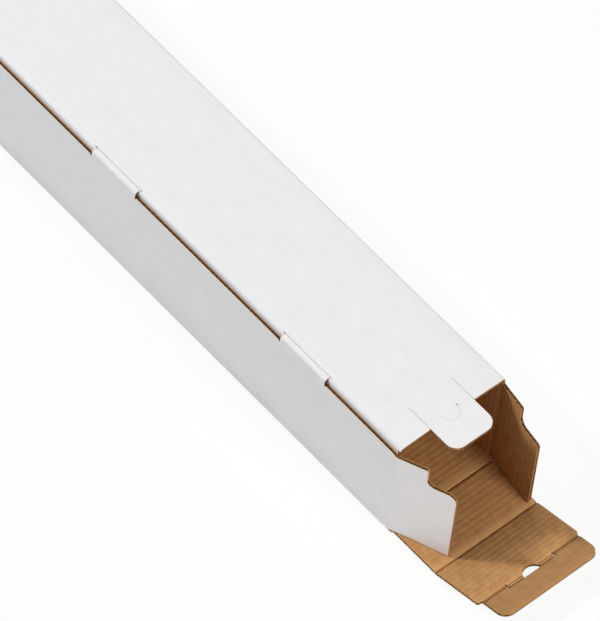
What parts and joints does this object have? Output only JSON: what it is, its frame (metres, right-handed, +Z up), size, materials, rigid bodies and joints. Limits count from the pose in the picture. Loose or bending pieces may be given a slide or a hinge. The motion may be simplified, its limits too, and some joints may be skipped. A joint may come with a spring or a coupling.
{
  "type": "square mailing tube",
  "caption": "Long square corrugated-board mailing tube with a tabbed lid, open at one end with its dust flaps, end flap, tuck flap and tongue hinged.",
  "frame": {"origin": "on the underside, midway across, at the crease line of the open end", "axes": "+X along the tube and out of its open end, +Y across from the wall with the locking tabs to the plain wall, +Z up from the floor panel to the lid"},
  "size_m": [0.8475, 0.1172, 0.114],
  "materials": {
    "board_sleeve": "white coated outside, plain brown kraft inside, matt",
    "board_flap": "white coated outside, plain brown kraft inside, matt",
    "board_tongue": "white coated on top, plain brown kraft underneath, matt",
    "board_end_flap": "plain brown kraft on top, white coated underneath, matt"
  },
  "bodies": {
    "tube": {"tube": "board_sleeve"},
    "left_dust_flap": {"left_dust_flap": "board_flap"},
    "right_dust_flap": {"right_dust_flap": "board_flap"},
    "lid_tongue": {"lid_tongue": "board_tongue"},
    "end_flap_lower": {"end_flap_lower": "board_end_flap"},
    "end_flap_upper": {"end_flap_upper": "board_end_flap"},
    "tuck_flap": {"tuck_flap": "board_end_flap"}
  },
  "joints": [
    {"name": "left_dust_crease", "type": "hinge", "parent": "tube", "child": "left_dust_flap", "pos_m": [0, -0.05715, 0.0555], "axis": [0, 0, 1], "range_deg": [-112, 68]},
    {"name": "right_dust_crease", "type": "hinge", "parent": "tube", "child": "right_dust_flap", "pos_m": [0, 0.05715, 0.0555], "axis": [0, 0, -1], "range_deg": [-98, 82]},
    {"name": "tongue_crease", "type": "hinge", "parent": "tube", "child": "lid_tongue", "pos_m": [-0.025, 0, 0.1125], "axis": [0, -1, 0], "range_deg": [-90, 90]},
    {"name": "end_flap_crease", "type": "hinge", "parent": "tube", "child": "end_flap_lower", "pos_m": [0.0033, 0, 0.0015], "axis": [0, -1, 0], "range_deg": [-90, 0]},
    {"name": "upper_panel_crease", "type": "hinge", "parent": "end_flap_lower", "child": "end_flap_upper", "pos_m": [0.0575, 0, 0.0015], "axis": [0, -1, 0], "range_deg": [-15, 75]},
    {"name": "tuck_crease", "type": "hinge", "parent": "end_flap_upper", "child": "tuck_flap", "pos_m": [0.10918, 0, 0.01535], "axis": [0, -1, 0], "range_deg": [0, 90]}
  ]
}
